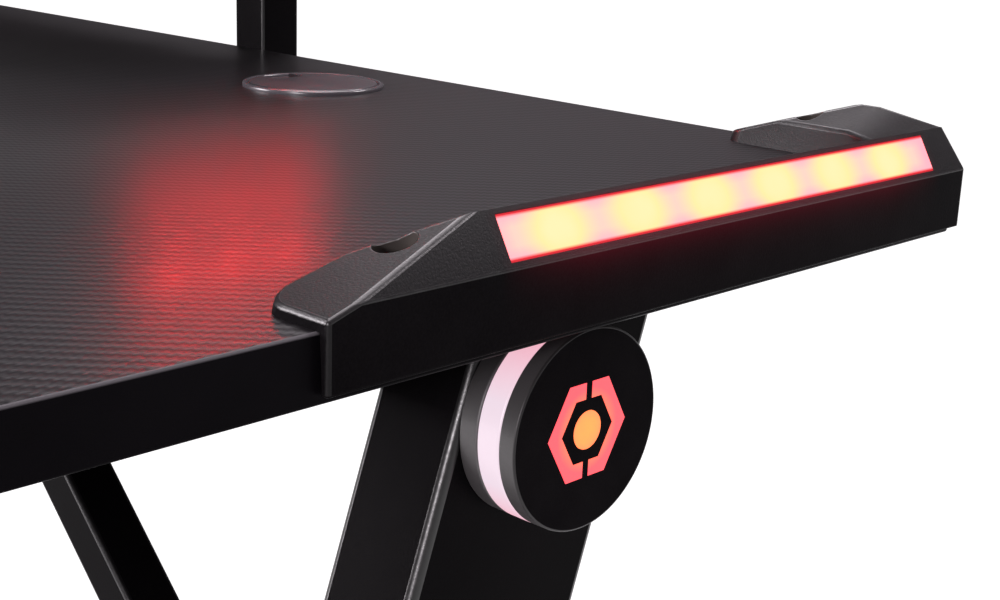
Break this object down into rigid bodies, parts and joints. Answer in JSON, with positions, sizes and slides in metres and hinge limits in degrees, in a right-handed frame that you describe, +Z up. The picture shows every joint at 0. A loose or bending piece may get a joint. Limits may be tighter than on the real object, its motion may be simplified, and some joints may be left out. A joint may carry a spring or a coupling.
{
  "type": "gaming desk",
  "caption": "Dark embossed desk on leaning steel legs, with lit corner covers, round leg lamps, cable grommets, a raised rear shelf and levelling feet.",
  "frame": {"origin": "on the floor, under the middle of the desk's box", "axes": "+X is the sitter's right, +Y points from the sitter to the back edge, +Z up"},
  "size_m": [1.4066, 0.625, 0.8575],
  "materials": {
    "top_film": "dark grey film embossed with a fine woven twill, semi-gloss",
    "edge_black": "satin",
    "cover_black": "fine grained, matte",
    "strip_milky": "milky, lit from behind",
    "circuit_board": "matte white lacquer",
    "light_point": "clear, lit",
    "lamp_black": "satin to gloss",
    "ring_milky": "milky, lit from behind",
    "motif_red": "translucent, lit from behind",
    "frame_black": "fine powder coat, satin",
    "grommet_grey": "satin",
    "plug_black": "matte",
    "shelf_film": "dark grey film, satin",
    "hardware_dark": "blackened",
    "box_black": "fine grained, matte",
    "button_red": "translucent, gloss",
    "pad_rubber": "matte",
    "stud_zinc": "zinc plated"
  },
  "bodies": {
    "desk": {"control_box": "box_black", "corner_cover_left": "cover_black", "corner_cover_right": "cover_black", "cover_screws": "hardware_dark", "desk_screws": "hardware_dark", "desktop_board": "top_film", "edge_band": "edge_black", "foot_bar_left": "frame_black", "foot_bar_right": "frame_black", "foot_nuts": "hardware_dark", "frame_caps": "plug_black", "grommet_liner_left": "grommet_grey", "grommet_liner_right": "grommet_grey", "knee_brace_left": "frame_black", "knee_brace_right": "frame_black", "lamp_base_left": "lamp_black", "lamp_base_right": "lamp_black", "lamp_board_left": "circuit_board", "lamp_board_right": "circuit_board", "lamp_front_left": "lamp_black", "lamp_front_right": "lamp_black", "lamp_lens_left": "motif_red", "lamp_lens_right": "motif_red", "lamp_ring_left": "ring_milky", "lamp_ring_right": "ring_milky", "lamp_screws": "hardware_dark", "led_chips_left": "light_point", "led_chips_right": "light_point", "led_strip_left": "circuit_board", "led_strip_right": "circuit_board", "leg_bolts": "hardware_dark", "leg_left": "frame_black", "leg_right": "frame_black", "light_diffuser_left": "strip_milky", "light_diffuser_right": "strip_milky", "main_beam": "frame_black", "post_bolts": "hardware_dark", "power_socket": "box_black", "rear_rail": "frame_black", "shelf_arm_left": "frame_black", "shelf_arm_right": "frame_black", "shelf_board": "shelf_film", "shelf_caps": "plug_black", "shelf_lights": "strip_milky", "shelf_post_left": "frame_black", "shelf_post_right": "frame_black", "shelf_screws": "hardware_dark", "top_arm_left": "frame_black", "top_arm_right": "frame_black"},
    "button": {"control_button": "button_red"},
    "cap_right": {"grommet_cap_right": "grommet_grey"},
    "cap_left": {"grommet_cap_left": "grommet_grey"},
    "pad_front_right": {"leveller_pad_front_right": "pad_rubber"},
    "stud_front_right": {"leveller_stud_front_right": "stud_zinc"},
    "pad_front_left": {"leveller_pad_front_left": "pad_rubber"},
    "stud_front_left": {"leveller_stud_front_left": "stud_zinc"},
    "pad_back_right": {"leveller_pad_back_right": "pad_rubber"},
    "stud_back_right": {"leveller_stud_back_right": "stud_zinc"},
    "pad_back_left": {"leveller_pad_back_left": "pad_rubber"},
    "stud_back_left": {"leveller_stud_back_left": "stud_zinc"}
  },
  "joints": [
    {"name": "cap_turn_right", "type": "hinge", "parent": "desk", "child": "cap_right", "pos_m": [0.386, 0.2205, 0.752], "axis": [0, 0, 1], "continuous": true},
    {"name": "cap_turn_left", "type": "hinge", "parent": "desk", "child": "cap_left", "pos_m": [-0.386, 0.2205, 0.752], "axis": [0, 0, 1], "continuous": true},
    {"name": "button_press", "type": "slide", "parent": "desk", "child": "button", "axis": [0, 1, 0], "range_m": [0, 0.0015], "stiffness_N_per_m": 800},
    {"name": "pad_travel_front_right", "type": "slide", "parent": "desk", "child": "pad_front_right", "axis": [0, 0, -1], "range_m": [0, 0.006]},
    {"name": "stud_turn_front_right", "type": "hinge", "parent": "pad_front_right", "child": "stud_front_right", "pos_m": [0.651, -0.15136, 0], "axis": [0, 0, -1], "range_deg": [0, 1728]},
    {"name": "pad_travel_front_left", "type": "slide", "parent": "desk", "child": "pad_front_left", "axis": [0, 0, -1], "range_m": [0, 0.006]},
    {"name": "stud_turn_front_left", "type": "hinge", "parent": "pad_front_left", "child": "stud_front_left", "pos_m": [-0.651, -0.15136, 0], "axis": [0, 0, -1], "range_deg": [0, 1728]},
    {"name": "pad_travel_back_right", "type": "slide", "parent": "desk", "child": "pad_back_right", "axis": [0, 0, -1], "range_m": [0, 0.006]},
    {"name": "stud_turn_back_right", "type": "hinge", "parent": "pad_back_right", "child": "stud_back_right", "pos_m": [0.651, 0.2125, 0], "axis": [0, 0, -1], "range_deg": [0, 1728]},
    {"name": "pad_travel_back_left", "type": "slide", "parent": "desk", "child": "pad_back_left", "axis": [0, 0, -1], "range_m": [0, 0.006]},
    {"name": "stud_turn_back_left", "type": "hinge", "parent": "pad_back_left", "child": "stud_back_left", "pos_m": [-0.651, 0.2125, 0], "axis": [0, 0, -1], "range_deg": [0, 1728]}
  ],
  "couplings": [
    {"joint": "stud_turn_front_right", "follows": "pad_travel_front_right", "rad_per_m": 5026.5},
    {"joint": "stud_turn_front_left", "follows": "pad_travel_front_left", "rad_per_m": 5026.5},
    {"joint": "stud_turn_back_right", "follows": "pad_travel_back_right", "rad_per_m": 5026.5},
    {"joint": "stud_turn_back_left", "follows": "pad_travel_back_left", "rad_per_m": 5026.5}
  ]
}
